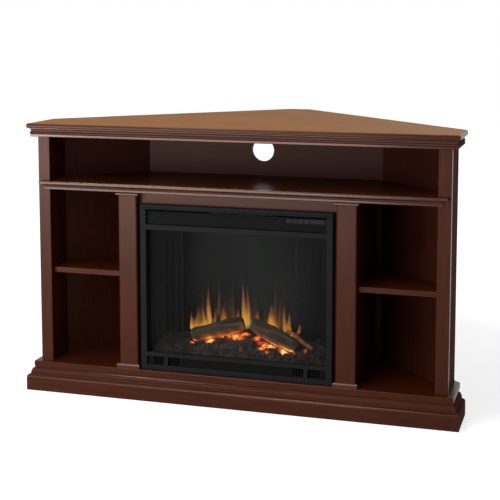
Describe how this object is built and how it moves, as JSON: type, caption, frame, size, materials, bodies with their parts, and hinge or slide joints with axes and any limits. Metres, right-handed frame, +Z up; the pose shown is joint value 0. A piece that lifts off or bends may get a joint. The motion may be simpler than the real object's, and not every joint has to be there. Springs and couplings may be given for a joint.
{
  "type": "corner fireplace",
  "caption": "Dark wooden corner media cabinet with moulded top and base, side shelf bays, a wide media bay and an electric firebox with logs, embers and mesh curtains.",
  "frame": {"origin": "middle of the footprint box at floor level", "axes": "+Z up, +Y into the corner of the room, +X to the right of someone facing the front"},
  "size_m": [1.298, 0.7774, 0.809],
  "materials": {
    "wood": "satin dark cherry lacquer over fine grain",
    "wood_top": "satin lacquer, catches a warm sheen from above",
    "wood_inside": "satin dark lacquer on plain board",
    "pin_steel": "plain zinc-plated",
    "black_steel": "fine satin black powder coat",
    "casing_steel": "matt black heat-resistant paint",
    "mesh_steel": "black woven wire mesh",
    "black_plastic": "fine matt texture",
    "grey_plastic": "satin keys",
    "lens": "smoked display window",
    "glass": "tinted tempered glass",
    "flame_screen": "smoked translucent screen",
    "log": "moulded and hand-coloured bark",
    "ember": "glowing coals, lit from below",
    "bright_metal": "bright mill finish"
  },
  "bodies": {
    "cabinet": {"top_panel": "wood_top", "crown_front": "wood", "crown_left": "wood", "crown_right": "wood", "left_post": "wood", "right_post": "wood", "left_side_panel": "wood", "right_side_panel": "wood", "media_shelf": "wood", "shelf_nosing": "wood", "firebox_surround": "wood", "left_pilaster": "wood", "right_pilaster": "wood", "left_pilaster_cap": "wood", "right_pilaster_cap": "wood", "left_pilaster_foot": "wood", "right_pilaster_foot": "wood", "bottom_panel": "wood", "base_front": "wood", "base_left": "wood", "base_right": "wood", "top_rail": "wood_inside", "left_partition": "wood_inside", "right_partition": "wood_inside", "left_back_panel": "wood_inside", "right_back_panel": "wood_inside", "centre_back_panel": "wood_inside", "rear_leg": "wood_inside", "left_pin_outer_front": "pin_steel", "left_pin_outer_rear": "pin_steel", "left_pin_inner_front": "pin_steel", "left_pin_inner_rear": "pin_steel", "right_pin_outer_front": "pin_steel", "right_pin_outer_rear": "pin_steel", "right_pin_inner_front": "pin_steel", "right_pin_inner_rear": "pin_steel", "firebox_casing": "casing_steel", "blower_housing": "casing_steel", "front_frame": "black_steel", "vent_grille": "black_steel", "curtain_rod": "black_steel", "mesh_curtain_left": "mesh_steel", "mesh_curtain_right": "mesh_steel", "control_fascia": "black_plastic", "cord_gland": "black_plastic", "display_lens": "lens", "glass_panel": "glass", "flame_screen": "flame_screen", "log_left": "log", "log_right": "log", "log_front": "log", "ember_bed": "ember"},
    "button_1": {"button_1": "grey_plastic"},
    "button_2": {"button_2": "grey_plastic"},
    "button_3": {"button_3": "grey_plastic"},
    "button_4": {"button_4": "grey_plastic"},
    "left_shelf_board": {"left_shelf": "wood"},
    "right_shelf_board": {"right_shelf": "wood"},
    "flicker_shaft": {"flicker_rod": "bright_metal"},
    "blower_wheel": {"blower_drum": "bright_metal"}
  },
  "joints": [
    {"name": "button_1_press", "type": "slide", "parent": "cabinet", "child": "button_1", "axis": [0, 1, 0], "range_m": [0, 0.0015], "stiffness_N_per_m": 300},
    {"name": "button_2_press", "type": "slide", "parent": "cabinet", "child": "button_2", "axis": [0, 1, 0], "range_m": [0, 0.0015], "stiffness_N_per_m": 300},
    {"name": "button_3_press", "type": "slide", "parent": "cabinet", "child": "button_3", "axis": [0, 1, 0], "range_m": [0, 0.0015], "stiffness_N_per_m": 300},
    {"name": "button_4_press", "type": "slide", "parent": "cabinet", "child": "button_4", "axis": [0, 1, 0], "range_m": [0, 0.0015], "stiffness_N_per_m": 300},
    {"name": "left_shelf_draw", "type": "slide", "parent": "cabinet", "child": "left_shelf_board", "axis": [0, -1, 0], "range_m": [0, 0.29]},
    {"name": "right_shelf_draw", "type": "slide", "parent": "cabinet", "child": "right_shelf_board", "axis": [0, -1, 0], "range_m": [0, 0.29]},
    {"name": "flicker_spin", "type": "hinge", "parent": "cabinet", "child": "flicker_shaft", "pos_m": [0, -0.16475, 0.162], "axis": [1, 0, 0], "continuous": true},
    {"name": "blower_spin", "type": "hinge", "parent": "cabinet", "child": "blower_wheel", "pos_m": [0, -0.26275, 0.541], "axis": [1, 0, 0], "continuous": true}
  ]
}
